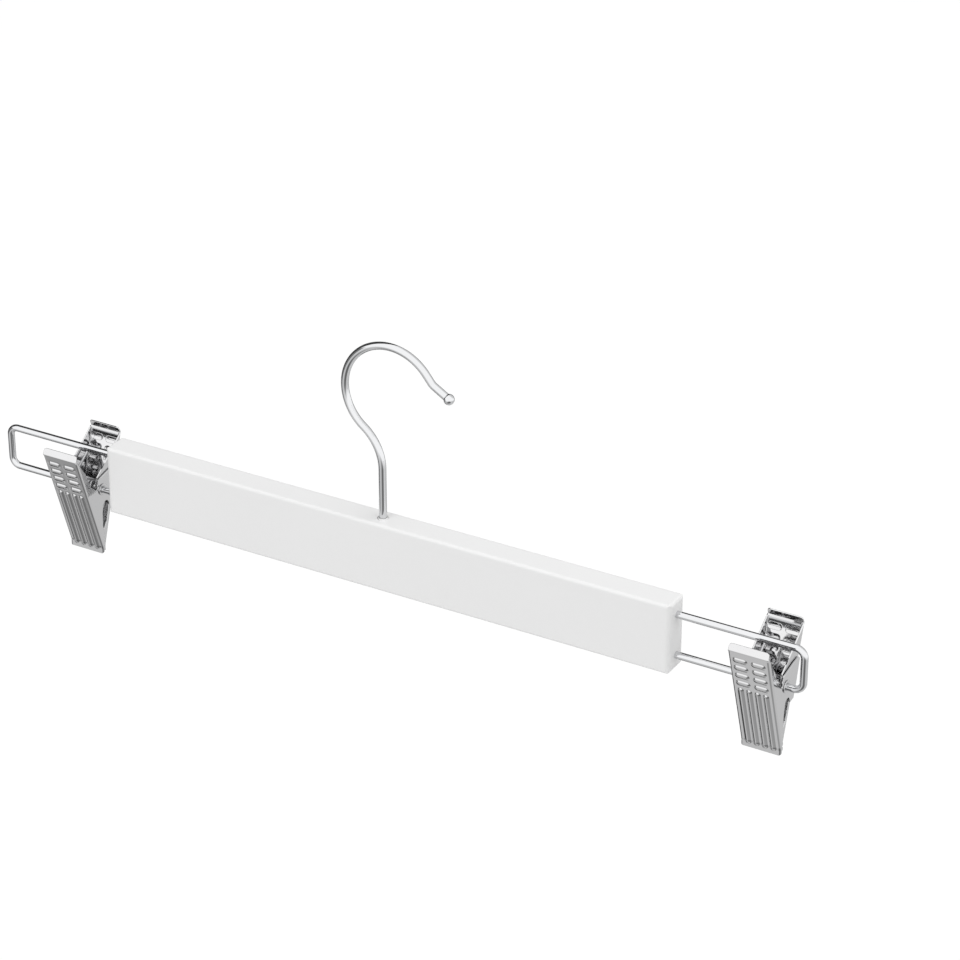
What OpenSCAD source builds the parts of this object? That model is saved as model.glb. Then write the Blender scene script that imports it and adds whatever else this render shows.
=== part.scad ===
// Skirt hanger: a lacquered wooden bar under a turning wire hook, with a wire loop at each
// end of the bar and a sprung, pressed-steel clip that slides on each loop's lower wire.
// X runs along the bar, -Y is the front and Z is up. The origin is the point where the
// crown of the hook rests on a rail, on the axis that the hook turns about.

/* [Bar] */
// Length of the bar
bar_len = 250; // [200:1:320]
// Thickness of the bar, front to back
bar_t = 11.5; // [10:0.1:18]
// Height of the bar
bar_h = 28.7; // [26:0.1:40]
// Rounding of the bar's long edges
bar_edge_r = 1.2; // [0.5:0.1:2.5]
// Rounding of the bar's upright end corners
bar_corner_r = 2; // [1:0.1:4]

/* [Hook] */
// Diameter of the hook's wire
hook_wire_d = 3; // [2.6:0.1:4]
// Straight stem between the bar and the back bend
stem_len = 20.75; // [12:0.25:40]
// Radius of the back bend, on the wire's centre line
back_bend_r = 20; // [14:0.5:30]
// Angle of the back bend
back_bend_angle = 53.1; // [48:0.1:58]
// Radius of the crown, on the wire's centre line
crown_r = 19.82; // [17:0.01:26]
// Where the crown ends, up from level on the open side
crown_end_angle = 38; // [25:1:55]
// Straight run between the crown and the nose bend
nose_run = 3.4; // [2:0.1:8]
// Radius of the nose bend, on the wire's centre line
nose_bend_r = 5; // [3:0.5:10]
// Angle of the nose bend
nose_bend_angle = 21; // [10:1:40]
// From the nose bend to the middle of the ball
tip_run = 7.3; // [4:0.1:12]
// Diameter of the ball on the hook's tip
ball_d = 4.2; // [3.6:0.1:6]

/* [Swivel] */
// Wall of the bush that the stem turns in
bush_wall = 0.8; // [0.5:0.1:1.2]
// Height of the bush above the bar
bush_proud = 0.4; // [0.2:0.1:1]
// Diameter of the recess under the bar
recess_d = 8; // [7:0.1:9]
// Depth of the recess under the bar
recess_depth = 5; // [3.5:0.1:8]
// Thickness of the washer in the recess
washer_t = 0.8; // [0.5:0.1:1.2]
// Diameter of the head that holds the stem
head_d = 5.2; // [4.6:0.1:6]
// Height of the head that holds the stem
head_h = 1.4; // [1:0.1:2]
// Play between the stem and what it turns in, on the radius
swivel_fit = 0.07; // [0.02:0.01:0.1]

/* [Wire loops] */
// Diameter of the loops' wire
loop_wire_d = 2.8; // [2.4:0.1:3.2]
// How far a loop stands out of the bar's end
loop_reach = 52.5; // [50:0.5:70]
// Distance between the centre lines of a loop's two wires
loop_gap = 17; // [16:0.1:18]
// Radius of a loop's corners, on the wire's centre line
loop_corner_r = 3.5; // [2.5:0.1:5]
// Depth of a loop's wire in the bar
loop_seat = 18; // [10:0.5:30]

/* [Clips] */
// From the bar's end to the middle of the left clip
left_clip_at = 15.1; // [9.2:0.1:36]
// From the outer end of the right loop to the middle of the right clip
right_clip_inset = 16.3; // [14:0.1:38]
// Width of a front jaw
jaw_w = 16.5; // [15:0.1:17]
// Thickness of the pressed sheet
sheet = 0.6; // [0.5:0.05:0.8]
// Outer radius of the bends along a jaw's sides
side_bend_r = 1.1; // [1:0.1:1.6]
// From the middle of a clip out to the top of a jaw
jaw_spread = 15.8; // [14:0.1:18]
// Height of a jaw's top bend above the pivot
jaw_rise = 18.5; // [17:0.1:20]
// Depth of a jaw's lower edge below the pivot
jaw_drop = 28.8; // [26:0.1:32]
// Height of the upright lip that grips the cloth
grip_lip = 2.7; // [2:0.1:4]
// Length of the turned-in thumb lip
thumb_lip = 2.4; // [1.5:0.1:3]
// Lean of the thumb lip towards the middle of the clip
thumb_lean = 22; // [10:1:35]
// Radius of the thumb lip's corners
thumb_corner_r = 1.6; // [1:0.1:1.9]
// Play between the cheeks of the two jaws
cheek_gap = 0.2; // [0.15:0.05:0.3]
// Thickness of a grip pad
pad_t = 0.8; // [0.5:0.1:1]
// Height of a grip pad
pad_h = 5.4; // [4:0.1:7]
// Gap between the closed pads
pad_gap = 0.3; // [0.3:0.05:0.6]

/* [Pressed pattern] */
// Length of a cross rib
rib_len = 5.5; // [4:0.1:5.8]
// Width of a cross rib
rib_w = 2; // [1.4:0.1:2.4]
// Height of the pressed pattern above the sheet
rib_h = 0.5; // [0.3:0.05:0.6]
// Distance between the rows of cross ribs
rib_pitch = 3.97; // [3.6:0.01:4.2]
// From the top bend to the first row of cross ribs
rib_start = 4.1; // [3:0.1:5]
// Distance between the two columns of cross ribs
rib_columns = 7.25; // [6.6:0.05:7.6]
// Rows of cross ribs
rib_rows = 4; // [2:1:4]
// Width of an upright flute
flute_w = 1.8; // [1.4:0.1:2.2]
// Distance between the flutes
flute_pitch = 3.35; // [3:0.05:3.5]
// Number of flutes
flute_count = 4; // [2:1:4]
// From the top bend to the upper end of the flutes
flute_start = 18.6; // [18:0.1:24]

/* [Springs and pivots] */
// Diameter of the spring's wire
spring_wire_d = 1; // [0.8:0.05:1.1]
// Distance between the spring's turns
spring_pitch = 1.5; // [1.5:0.05:1.6]
// Whole turns of the spring
spring_turns = 7; // [5:1:7]
// Wall of the pivot tube
tube_wall = 0.4; // [0.3:0.05:0.5]
// Width of the turned-over ends of the pivot tube
collar_w = 0.6; // [0.4:0.05:0.8]
// Thickness of the turned-over ends of the pivot tube
collar_t = 0.4; // [0.3:0.05:0.6]
// Play of the pivot tube on the wire and of the jaws on the tube, on the radius
pivot_fit = 0.06; // [0.03:0.01:0.1]
// Play between a clip's parts that don't touch
clip_play = 0.3; // [0.2:0.05:0.4]

/* [Hidden] */
$fn = 48;

// One overrun serves every cut, and grows with the bar
cut = bar_t / 10;

// The hook's centre line, from its angles and radii, with the bar's middle as zero
hook_r = hook_wire_d / 2;
stem_top = bar_h / 2 + stem_len;
crown_x = -back_bend_r + (back_bend_r + crown_r) * cos(back_bend_angle);
crown_z = stem_top + (back_bend_r + crown_r) * sin(back_bend_angle);
crown_sweep = 180 + back_bend_angle - crown_end_angle;
rail_r = crown_r - hook_r;
// Height of the rail's seat above the middle of the bar
seat_z = crown_z + sqrt(rail_r * rail_r - crown_x * crown_x);

// The swivel, from the stem outwards
stem_hole_r = hook_r + swivel_fit;
bush_r = stem_hole_r + bush_wall;
recess_top = -bar_h / 2 + recess_depth;
washer_play = swivel_fit * 2;
washer_r = recess_d / 2 - washer_play;
head_top = recess_top - washer_t - washer_play;

// How much fatter a joint between two lengths of the hook's wire is than the wire
joint_share = 1.01;

// The loops
loop_r = loop_wire_d / 2;
loop_tip = bar_len / 2 + loop_reach - loop_r;

// The clip's frame has the pivot's axis as its X axis and the clip's middle as zero.
// A sheet's middle line runs through four knots: thumb lip, top bend, grip bend, lower edge.
grip_half = pad_gap / 2 + pad_t + sheet;
knot_top = [-(jaw_spread - sheet / 2), jaw_rise];
knot_grip = [-(grip_half - sheet / 2), -(jaw_drop - grip_lip)];
knot_low = [knot_grip.x, -(jaw_drop - sheet / 2)];
knot_thumb = knot_top + thumb_lip * [sin(thumb_lean), cos(thumb_lean)];
jaw_slant = atan((knot_grip.x - knot_top.x) / (knot_top.y - knot_grip.y));
plate_len = norm(knot_grip - knot_top);
rear_w = jaw_w - 2 * (sheet + cheek_gap);

// The pivot
tube_in_r = loop_r + pivot_fit;
tube_r = tube_in_r + tube_wall;
ear_hole_r = tube_r + pivot_fit;
ear_r = ear_hole_r + sheet * 1.8;
tube_half = jaw_w / 2 + pivot_fit + collar_t;

// Inner outlines of the cheeks, top to bottom. Shares of jaw_spread across, of jaw_rise
// above the pivot and of jaw_drop below it. Each cheek's own plate is on its minus side.
front_cheek_shares = [
    [-0.945, 1.02], [-0.89, 0.92], [-0.65, 0.61], [-0.525, 0.38], [-0.53, 0.28],
    [-0.29, 0.08], [-0.2, 0.05], [-0.19, 0.14], [-0.15, 0.275], [-0.1, 0.285],
    [0.39, 0.375], [0.64, 0.395], [0.7, 0.34], [0.56, -0.09], [0.45, -0.29],
    [0.25, -0.31]
];
rear_cheek_shares = [
    [-0.945, 1.02], [0.11, 0.31], [0.17, 0.25], [0.2, 0.05], [0.19, -0.07],
    [0, -0.14], [-0.19, -0.2], [-0.28, -0.29], [-0.24, -0.42], [-0.165, -0.556],
    [-0.03, -0.67]
];
// The round head of the gap between the cheeks, on the front cheek
arch_mid_shares = [0.115, -0.27];
arch_r = jaw_spread * 0.12;
arch_steps = 10;
arch_foot_shares = [[-0.04, -0.36], [-0.057, -0.556], [-0.02, -0.66]];
// Small round notches along the cheeks' closing edges
notch_r = sheet * 0.8;
notch_pitch = sheet * 3.4;
notch_count = 4;
notch_low = -(jaw_drop - grip_lip * 0.6);

// The spring, wound round the pivot tube, with a leg up to each jaw
spring_r = spring_wire_d / 2;
coil_r = tube_r + clip_play + spring_r;
leg_z = jaw_rise * 0.5;
foot_len = spring_wire_d * 1.3;
foot_turn_r = spring_wire_d * 0.9;
wire_sides = 6;
rings_per_turn = 8;

function share_point(s) = [s.x * jaw_spread, s.y * (s.y > 0 ? jaw_rise : jaw_drop)];
function share_points(list) = [for (s = list) share_point(s)];

// A point of the plate's inner face at height z, on the minus side
function plate_inner(z) =
    [knot_top.x + (knot_top.y - z) * tan(jaw_slant) + sheet / 2 / cos(jaw_slant), z];

// Cylinder from one point to another in the XZ plane
module wire_run(from, to, r) {
    run = to - from;
    translate([from.x, 0, from.y])
        rotate([0, atan2(run.x, run.y), 0])
            cylinder(h = norm(run), r = r);
}

// Part of a ring in the XZ plane, from one angle through a sweep
module wire_bend(mid, bend_r, from, sweep, r) {
    translate([mid.x, 0, mid.y])
        rotate([90, 0, 0])
            rotate([0, 0, from])
                rotate_extrude(angle = sweep)
                    translate([bend_r, 0])
                        circle(r = r);
}

// Joins two lengths of wire that meet at a point, a hair proud of both
module wire_joint(at, r) {
    translate([at.x, 0, at.y])
        sphere(r = r * joint_share);
}

// Rounded rectangle about zero, from squares and circles
module round_rect(size, r) {
    square([size.x - 2 * r, size.y], center = true);
    square([size.x, size.y - 2 * r], center = true);
    for (x = [-1, 1], y = [-1, 1])
        translate([x * (size.x / 2 - r), y * (size.y / 2 - r)])
            circle(r = r);
}

module hook() {
    function on_crown(angle) = [crown_x, crown_z] + crown_r * [cos(angle), sin(angle)];
    crown_end = on_crown(crown_end_angle);
    heading = crown_end_angle - 90;
    nose = crown_end + nose_run * [cos(heading), sin(heading)];
    nose_mid = nose + nose_bend_r * [-sin(heading), cos(heading)];
    turned = heading + nose_bend_angle;
    tip_from = nose_mid + nose_bend_r * [sin(turned), -cos(turned)];
    ball = tip_from + tip_run * [cos(turned), sin(turned)];
    color("silver")
        translate([0, 0, -seat_z]) {
            translate([0, 0, head_top])
                cylinder(h = stem_top - head_top, r = hook_r);
            translate([0, 0, head_top - head_h])
                cylinder(h = head_h, d = head_d);
            wire_bend([-back_bend_r, stem_top], back_bend_r, 0, back_bend_angle, hook_r);
            for (half = [0, 1])
                wire_bend([crown_x, crown_z], crown_r,
                          crown_end_angle + half * crown_sweep / 2, crown_sweep / 2, hook_r);
            for (end = [crown_end, on_crown(crown_end_angle + crown_sweep / 2),
                        on_crown(crown_end_angle + crown_sweep), nose, tip_from])
                wire_joint(end, hook_r);
            wire_run(crown_end, nose, hook_r);
            wire_bend(nose_mid, nose_bend_r, heading - 90, nose_bend_angle, hook_r);
            wire_run(tip_from, ball, hook_r);
            translate([ball.x, 0, ball.y])
                sphere(d = ball_d);
        }
}

module bar() {
    color("white")
        translate([0, 0, -seat_z])
            difference() {
                intersection() {
                    rotate([90, 0, 90])
                        linear_extrude(height = bar_len, center = true)
                            round_rect([bar_t, bar_h], bar_edge_r);
                    linear_extrude(height = bar_h, center = true)
                        round_rect([bar_len, bar_t], bar_corner_r);
                    rotate([90, 0, 0])
                        linear_extrude(height = bar_t, center = true)
                            round_rect([bar_len, bar_h], bar_edge_r);
                }
                translate([0, 0, recess_top - cut])
                    cylinder(h = bar_h, r = bush_r);
                translate([0, 0, -bar_h / 2 - cut])
                    cylinder(h = recess_depth + cut, d = recess_d);
                for (side = [-1, 1], z = [-1, 1])
                    translate([side * (bar_len / 2 - loop_seat), 0, z * loop_gap / 2])
                        rotate([0, side * 90, 0])
                            cylinder(h = loop_seat + cut, r = loop_r);
            }
}

module hook_bush() {
    color("gainsboro")
        translate([0, 0, -seat_z + recess_top])
            difference() {
                cylinder(h = bar_h - recess_depth + bush_proud, r = bush_r);
                translate([0, 0, -cut])
                    cylinder(h = bar_h + 2 * cut, r = stem_hole_r);
            }
}

module hook_washer() {
    color("gainsboro")
        translate([0, 0, -seat_z + recess_top - washer_t])
            difference() {
                cylinder(h = washer_t, r = washer_r);
                translate([0, 0, -cut])
                    cylinder(h = washer_t + 2 * cut, r = stem_hole_r);
            }
}

// A loop on the plus side: two straight wires, two corners and the upright end
module loop() {
    inner = bar_len / 2 - loop_seat;
    corner_x = loop_tip - loop_corner_r;
    corner_z = loop_gap / 2 - loop_corner_r;
    color("silver")
        translate([0, 0, -seat_z]) {
            for (z = [-1, 1])
                wire_run([inner, z * loop_gap / 2], [corner_x, z * loop_gap / 2], loop_r);
            wire_run([loop_tip, -corner_z], [loop_tip, corner_z], loop_r);
            wire_bend([corner_x, corner_z], loop_corner_r, 0, 90, loop_r);
            wire_bend([corner_x, -corner_z], loop_corner_r, 270, 90, loop_r);
        }
}

// Puts a clip's part in its place on the lower wire of a loop
module at_clip(side) {
    reach = side > 0 ? loop_reach - right_clip_inset : left_clip_at;
    translate([side * (bar_len / 2 + reach), 0, -seat_z - loop_gap / 2])
        children();
}

// Flat strip with round edges along the line between two knots
module strip(from, to, t) {
    run = to - from;
    translate(from)
        rotate(atan2(run.y, run.x))
            translate([0, -t / 2])
                square([norm(run), t]);
    for (end = [from, to])
        translate(end)
            circle(d = t);
}

// Extrudes a side view, drawn in Y and Z, across the width
module across(w) {
    rotate([90, 0, 90])
        linear_extrude(height = w, center = true)
            children();
}

// Extrudes a front view, drawn in X and Z, right through a clip
module through() {
    rotate([90, 0, 0])
        linear_extrude(height = 2 * jaw_spread, center = true)
            children();
}

// A round bar along Z with round ends, for the pressed pattern
module capsule(len, r) {
    rotate_extrude()
        intersection() {
            union() {
                for (end = [-1, 1])
                    translate([0, end * len / 2])
                        circle(r = r);
                square([2 * r, len], center = true);
            }
            translate([0, -len / 2 - r])
                square([r, len + 2 * r]);
        }
}

// Puts its children on the plate: X across, -Z down the plate, +Y into the clip
module on_plate() {
    translate([0, knot_top.x, knot_top.y])
        rotate([jaw_slant, 0, 0])
            children();
}

// The pressed pattern at full size, or shrunk by the sheet for the hollow behind it
module pattern(shrink) {
    function press_r(w) = (w * w / 4 + rib_h * rib_h) / (2 * rib_h);
    rib_r = press_r(rib_w);
    flute_r = press_r(flute_w);
    flute_top = flute_start + flute_w / 2;
    on_plate() {
        for (row = [0 : rib_rows - 1], side = [-1, 1])
            translate([side * rib_columns / 2, rib_r - rib_h - sheet / 2,
                       -rib_start - row * rib_pitch])
                rotate([0, 90, 0])
                    capsule(rib_len - rib_w, rib_r - shrink);
        for (i = [0 : flute_count - 1])
            translate([(i - (flute_count - 1) / 2) * flute_pitch,
                       flute_r - rib_h - sheet / 2, -(flute_top + plate_len) / 2])
                capsule(plate_len - flute_top, flute_r - shrink);
    }
}

// Cross-section of a jaw: a channel with round bends, open towards the clip's middle
module channel(w) {
    deep = jaw_spread * 2;
    module outer(w, r) {
        translate([-w / 2 + r, 0])
            square([w - 2 * r, deep]);
        translate([-w / 2, r])
            square([w, deep - r]);
        for (side = [-1, 1])
            translate([side * (w / 2 - r), r])
                circle(r = r);
    }
    translate([0, -sheet / 2])
        difference() {
            outer(w, side_bend_r);
            translate([0, sheet])
                outer(w - 2 * sheet, side_bend_r - sheet);
        }
}

// A pressed jaw with its plate on the minus side
module jaw(w, outline) {
    close_y = -pad_gap / 2;
    difference() {
        union() {
            // Plate and cheeks above the grip bend
            intersection() {
                on_plate()
                    translate([0, 0, -plate_len - cut])
                        linear_extrude(height = plate_len + cut)
                            channel(w);
                across(w) {
                    polygon(concat(
                        [[knot_low.x - cut, knot_grip.y], [knot_top.x - 2 * cut, jaw_rise],
                         [knot_top.x - cut, jaw_rise + 2 * cut]],
                        outline,
                        [[close_y, notch_low + notch_count * notch_pitch],
                         [close_y, knot_grip.y]]));
                    circle(r = ear_r);
                }
            }
            // The same channel upright below the bend, with round lower corners
            intersection() {
                translate([0, knot_grip.x, -jaw_drop])
                    linear_extrude(height = grip_lip)
                        channel(w);
                across(w)
                    translate([knot_low.x - cut, -jaw_drop])
                        square([close_y - knot_low.x + cut, grip_lip]);
                through()
                    translate([0, knot_grip.y])
                        round_rect([w, 2 * grip_lip], side_bend_r);
            }
            // Thumb lip, with round corners
            intersection() {
                across(w)
                    strip(knot_top, knot_thumb, sheet);
                through()
                    translate([0, knot_top.y])
                        round_rect([w - sheet, 2 * (knot_thumb.y - knot_top.y) + sheet],
                                   thumb_corner_r);
            }
            // Raised pattern, cut off at the sheet's middle
            difference() {
                pattern(0);
                on_plate()
                    translate([-w, 0, -2 * plate_len])
                        cube([2 * w, jaw_spread, 3 * plate_len]);
                translate([-w, knot_grip.x, -2 * jaw_drop])
                    cube([2 * w, jaw_spread, 2 * jaw_drop + knot_grip.y]);
            }
        }
        pattern(sheet);
        across(2 * w)
            circle(r = ear_hole_r);
        for (i = [0 : notch_count - 1])
            translate([0, close_y, notch_low + i * notch_pitch])
                rotate([0, 90, 0])
                    cylinder(h = 2 * w, r = notch_r, center = true);
    }
}

function front_outline() = concat(
    share_points(front_cheek_shares),
    [for (i = [0 : arch_steps]) share_point(arch_mid_shares)
        + arch_r * [cos(i * 180 / arch_steps), sin(i * 180 / arch_steps)]],
    share_points(arch_foot_shares));

module front_jaw() {
    color("lightgray")
        jaw(jaw_w, front_outline());
}

module rear_jaw() {
    color("darkgray")
        mirror([0, 1, 0])
            jaw(rear_w, share_points(rear_cheek_shares));
}

// Thin pad on the inner face of a jaw's lower end, with its jaw on the minus side
module pad() {
    off = (sheet + pad_t) / 2;
    low = [knot_low.x + off, -(jaw_drop - pad_t)];
    bend = knot_grip + off * [1, tan(jaw_slant / 2)];
    up = bend + (pad_h - grip_lip) * [-sin(jaw_slant), cos(jaw_slant)];
    color("dimgray")
        across(rear_w - 2 * (sheet + clip_play))
            union() {
                strip(low, bend, pad_t);
                strip(bend, up, pad_t);
            }
}

module pivot_tube() {
    color("silver")
        rotate([0, 90, 0])
            difference() {
                union() {
                    cylinder(h = 2 * tube_half, r = tube_r, center = true);
                    for (side = [-1, 1])
                        translate([0, 0, side * (tube_half - collar_t / 2)])
                            cylinder(h = collar_t, r = tube_r + collar_w, center = true);
                }
                cylinder(h = 2 * (tube_half + cut), r = tube_in_r, center = true);
            }
}

// The spring's centre line. Each leg is worked out on the minus side as [y, z] points.
foot = plate_inner(leg_z) + clip_play * [cos(jaw_slant), sin(jaw_slant)];
knee = foot + (foot_len + foot_turn_r) * [cos(jaw_slant), sin(jaw_slant)];
knee_angle = atan2(knee.y, knee.x);
leave_angle = knee_angle - acos(coil_r / norm(knee));
leave = coil_r * [cos(leave_angle), sin(leave_angle)];
leg_way = (leave - knee) / norm(leave - knee);
foot_way = (foot - knee) / norm(foot - knee);
leg = [
    leave + (knee - leave) / 2,
    knee + foot_turn_r * leg_way,
    knee + foot_turn_r * (leg_way + foot_way) / 4,
    knee + foot_turn_r * foot_way,
    foot
];
turn_start = 180 - leave_angle;
turn_total = leave_angle + 360 * spring_turns - turn_start;
coil_len = spring_pitch * turn_total / 360;
turn_steps = round(turn_total / 360 * rings_per_turn);
spring_path = concat(
    [for (i = [len(leg) - 1 : -1 : 0]) [-coil_len / 2, -leg[i].x, leg[i].y]],
    [for (i = [0 : turn_steps])
        let (a = turn_start + turn_total * i / turn_steps)
        [coil_len * (i / turn_steps - 1 / 2), coil_r * cos(a), coil_r * sin(a)]],
    [for (p = leg) [coil_len / 2, p.x, p.y]]);

function path_way(i) =
    let (n = len(spring_path),
         way = spring_path[min(i + 1, n - 1)] - spring_path[max(i - 1, 0)])
    way / norm(way);
function unit(v) = v / norm(v);

// Least gap between the spring's own turns, on the points of its centre line
spring_gap = min([for (i = [0 : len(spring_path) - 1])
    for (j = [i + 1 : 1 : len(spring_path) - 1])
        if (j - i > rings_per_turn / 2)
            norm(spring_path[i] - spring_path[j])]) - spring_wire_d;
echo(spring_gap = spring_gap);

module spring() {
    n = len(spring_path);
    points = [for (i = [0 : n - 1])
        let (t = path_way(i),
             b = unit([1, 0, 0] - t * t.x),
             c = cross(t, b))
        for (k = [0 : wire_sides - 1])
            spring_path[i] + spring_r * (b * cos(k * 360 / wire_sides)
                                         + c * sin(k * 360 / wire_sides))];
    sides = [for (i = [0 : n - 2], k = [0 : wire_sides - 1])
        let (a = i * wire_sides + k,
             b = i * wire_sides + (k + 1) % wire_sides)
        each [[a, a + wire_sides, b], [b, a + wire_sides, b + wire_sides]]];
    last = (n - 1) * wire_sides;
    ends = [for (k = [1 : wire_sides - 2])
        each [[0, k, k + 1], [last, last + k + 1, last + k]]];
    color("gray")
        polyhedron(points = points, faces = concat(sides, ends));
}

hook();
bar();
hook_bush();
hook_washer();
mirror([1, 0, 0]) loop();  // left_loop
loop();  // right_loop
at_clip(-1) pivot_tube();  // left_pivot_tube
at_clip(-1) rear_jaw();  // left_rear_jaw
at_clip(-1) mirror([0, 1, 0]) pad();  // left_rear_pad
at_clip(-1) spring();  // left_spring
at_clip(-1) front_jaw();  // left_front_jaw
at_clip(-1) pad();  // left_front_pad
at_clip(1) pivot_tube();  // right_pivot_tube
at_clip(1) rear_jaw();  // right_rear_jaw
at_clip(1) mirror([0, 1, 0]) pad();  // right_rear_pad
at_clip(1) spring();  // right_spring
at_clip(1) front_jaw();  // right_front_jaw
at_clip(1) pad();  // right_front_pad
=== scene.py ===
"""Looks of a skirt hanger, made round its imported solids.

The wires, pressed jaws, pads, springs and turned parts are surfaces worked out from a few
sizes, in metres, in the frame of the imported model. X runs along the bar, -Y is the front
and Z is up.
"""
import math

import bpy
import numpy as np
from bpy.props import FloatProperty, FloatVectorProperty, IntProperty, PointerProperty
from bpy.types import Operator, Panel, PropertyGroup
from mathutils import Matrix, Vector
from mathutils.geometry import delaunay_2d_cdt


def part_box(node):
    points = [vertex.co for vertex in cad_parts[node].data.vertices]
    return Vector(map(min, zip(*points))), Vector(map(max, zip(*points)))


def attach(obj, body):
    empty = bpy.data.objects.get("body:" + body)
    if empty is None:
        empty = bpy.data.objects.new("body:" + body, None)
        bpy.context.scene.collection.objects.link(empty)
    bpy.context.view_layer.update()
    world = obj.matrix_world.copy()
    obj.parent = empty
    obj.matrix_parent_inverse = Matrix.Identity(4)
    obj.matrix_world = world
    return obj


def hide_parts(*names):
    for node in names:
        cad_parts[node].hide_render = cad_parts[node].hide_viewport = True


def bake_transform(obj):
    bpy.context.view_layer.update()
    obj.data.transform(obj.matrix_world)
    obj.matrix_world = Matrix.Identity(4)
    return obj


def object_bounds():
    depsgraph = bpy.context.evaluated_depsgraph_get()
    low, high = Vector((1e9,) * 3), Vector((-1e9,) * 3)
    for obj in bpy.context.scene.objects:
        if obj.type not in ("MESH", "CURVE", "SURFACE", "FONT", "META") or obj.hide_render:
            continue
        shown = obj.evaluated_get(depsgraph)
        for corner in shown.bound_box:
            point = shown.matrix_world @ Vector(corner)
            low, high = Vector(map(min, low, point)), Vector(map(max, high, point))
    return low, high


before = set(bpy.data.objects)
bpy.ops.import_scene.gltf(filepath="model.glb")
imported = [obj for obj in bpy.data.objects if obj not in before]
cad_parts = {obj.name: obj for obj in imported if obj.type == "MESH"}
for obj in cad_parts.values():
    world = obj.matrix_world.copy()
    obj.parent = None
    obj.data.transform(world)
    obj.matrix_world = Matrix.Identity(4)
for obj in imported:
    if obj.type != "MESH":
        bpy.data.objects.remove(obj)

bl_info = {
    "name": "Skirt hanger",
    "version": (1, 0, 0),
    "blender": (4, 5, 0),
    "location": "3D View > Sidebar > Hanger",
    "description": "Makes the wires, pressed clips, springs and finishes of a skirt hanger",
    "category": "Add Mesh",
}

MM = 0.001
SIDES = ("left", "right")
CAD_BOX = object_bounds()
# Meshes without normals of their own are shaded sharp past this angle
SHARP = math.radians(40)
# A hair's breadth: the tiny flat left on the axis at an end, and half the gap before a tip
HAIR = 0.1 * MM
# Length of the small steps that give a surface's direction
NUDGE = 0.01 * MM
# Depths of the textures on the finishes
GRAIN_DEPTH, PEEL_DEPTH, MARK_DEPTH = 0.1 * MM, 0.05 * MM, 0.02 * MM
# Corners round a turned part
TURNED_CORNERS = 64
# Direction across the bar, front to back
ACROSS = (0.0, 1.0, 0.0)

# Inner outlines of a jaw's cheeks, top to bottom, as shares of the jaw's spread across and
# of its rise above the pivot or its drop below. A jaw's own plate is on the minus side.
FRONT_CHEEK_SHARES = [
    (-0.89, 0.92), (-0.65, 0.61), (-0.525, 0.38), (-0.53, 0.28), (-0.29, 0.08),
    (-0.2, 0.05), (-0.19, 0.14), (-0.15, 0.275), (-0.1, 0.285), (0.39, 0.375),
    (0.64, 0.395), (0.7, 0.34), (0.56, -0.09), (0.45, -0.29), (0.25, -0.31)]
REAR_CHEEK_SHARES = [
    (0.11, 0.31), (0.17, 0.25), (0.2, 0.05), (0.19, -0.07), (0, -0.14), (-0.19, -0.2),
    (-0.28, -0.29), (-0.24, -0.42), (-0.165, -0.556), (-0.03, -0.67)]
# The round head of the gap between the cheeks, on the front cheek
ARCH_MID_SHARES = (0.115, -0.27)
ARCH_R_SHARE = 0.12
ARCH_FOOT_SHARES = [(-0.04, -0.36), (-0.057, -0.556), (-0.02, -0.66)]

# Dark flags of the studio that the metal shows: the way towards each, the angles from its
# middle in degrees at which it is fully dark and gone, and how dark it is
FLAGS = (
    ((-0.29, 0.94, -0.16), 28, 33, 0.87),
    ((-0.91, -0.36, -0.22), 20, 28, 0.81),
    ((-0.5, -0.43, -0.75), 6, 10, 0.66),
    ((0.45, -0.64, -0.62), 10, 35, 0.75),
    ((-0.04, -0.62, -0.78), 7, 21, 0.6),
    ((-0.87, 0.4, 0.29), 40, 44, 0.95),
    ((-0.59, 0.09, -0.8), 12, 16, 0.74),
    ((-0.45, 0.31, -0.84), 22, 26, 0.65),
    ((0.15, 0.8, 0.5), 25, 50, 0.38),
)


# Properties

def length(name, description, millimetres):
    """Property for a length, its default given in millimetres."""
    return FloatProperty(name=name, description=description, default=millimetres * MM,
                         min=0.0, unit="LENGTH", subtype="DISTANCE", precision=5)


def angle(name, description, degrees):
    """Property for an angle, its default given in degrees."""
    return FloatProperty(name=name, description=description, unit="ROTATION",
                         default=math.radians(degrees), subtype="ANGLE")


def colour(name, description, red, green, blue):
    """Property for a linear colour."""
    return FloatVectorProperty(name=name, description=description, subtype="COLOR",
                               default=(red, green, blue), min=0.0, max=1.0)


def share(name, description, default):
    """Property for a number between nothing and the whole."""
    return FloatProperty(name=name, description=description, default=default,
                         min=0.0, max=1.0, subtype="FACTOR")


class HookSizes(PropertyGroup):
    """Sizes of the turning hook."""
    wire: length("Wire", "Diameter of the hook's wire", 3)
    back_bend_r: length("Back bend", "Radius of the bend above the stem", 20)
    back_bend: angle("Back bend angle", "How far the wire leans back", 53.1)
    crown_r: length("Crown", "Radius of the crown", 19.82)
    crown: angle("Crown angle", "How far the wire turns over the rail", 195.1)
    nose_run: length("Nose run", "Straight run after the crown", 3.4)
    nose_bend_r: length("Nose bend", "Radius of the nose bend", 5)
    nose_bend: angle("Nose bend angle", "How far the nose turns out", 21)
    tip_run: length("Tip run", "From the nose bend to the ball's middle", 7.3)
    ball: length("Ball", "Diameter of the ball on the tip", 4.2)
    head: length("Head height", "Height of the head that holds the stem", 1.4)
    head_edge_r: length("Head edge", "Rounding of the head's edges", 0.25)
    bush_edge_r: length("Bush edge", "Rounding of the bush and washer", 0.15)
    swivel_fit: length("Swivel fit", "Play round the stem, on the radius", 0.07)


class LoopSizes(PropertyGroup):
    """Sizes of the wire loops."""
    corner_r: length("Corner", "Radius of a loop's corners", 3.5)


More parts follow.
